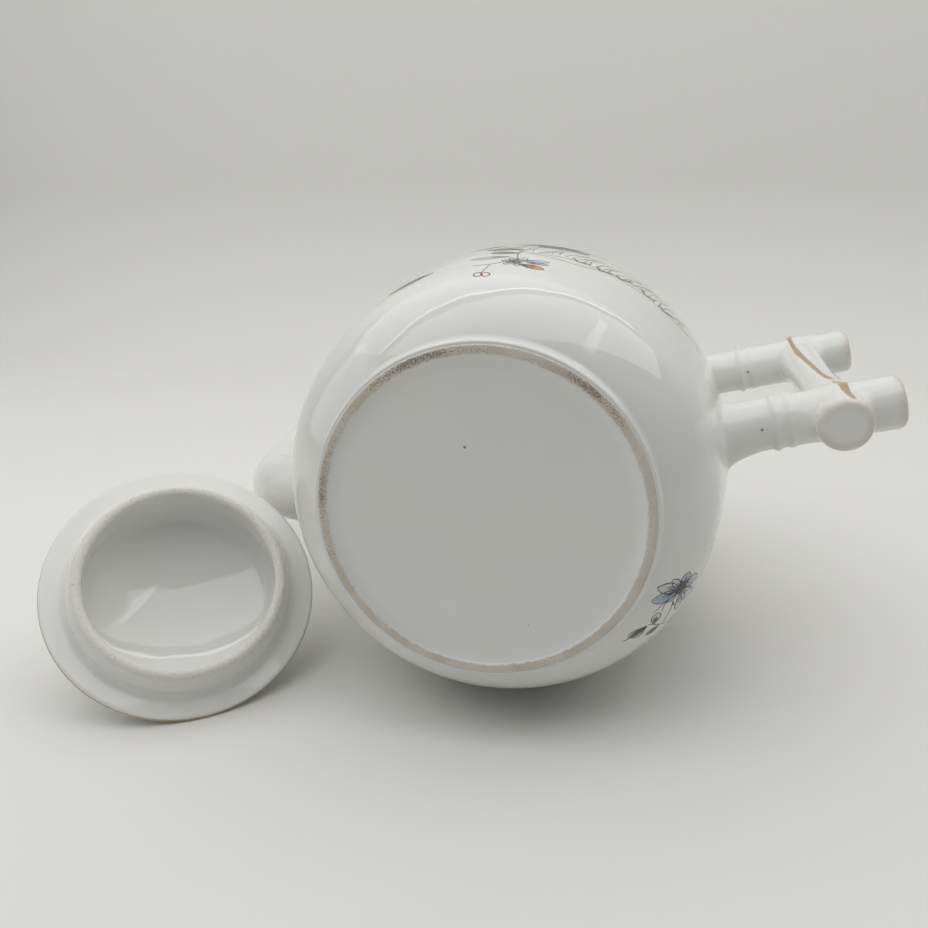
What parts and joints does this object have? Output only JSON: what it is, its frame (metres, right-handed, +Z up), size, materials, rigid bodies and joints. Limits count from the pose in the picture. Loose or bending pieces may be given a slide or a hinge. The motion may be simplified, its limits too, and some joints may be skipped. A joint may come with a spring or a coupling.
{
  "type": "teapot",
  "caption": "Glazed white porcelain teapot with bamboo-stick handle and floral sprays, lying on its side with its lid off and leaning upside down beside it.",
  "frame": {"origin": "middle of the ground that the whole model covers, on the table", "axes": "+Z up from the table; the pot lies along +Y with its foot towards -Y and its mouth towards +Y; the handle points towards +X, the spout and the lid lie towards -X"},
  "size_m": [0.2348, 0.1696, 0.1225],
  "materials": {
    "glazed_porcelain": "clear gloss glaze over white porcelain"
  },
  "bodies": {
    "pot": {"pot_body": "glazed_porcelain", "spout": "glazed_porcelain", "handle_lower_arm": "glazed_porcelain", "handle_upper_arm": "glazed_porcelain", "handle_grip": "glazed_porcelain"},
    "lid": {"lid": "glazed_porcelain", "lid_knob": "glazed_porcelain"}
  },
  "joints": [
    {"name": "lid_lift", "type": "slide", "parent": "pot", "child": "lid", "axis": [-0.2506, -0.3509, 0.9023], "range_m": [0, 0.13]}
  ]
}
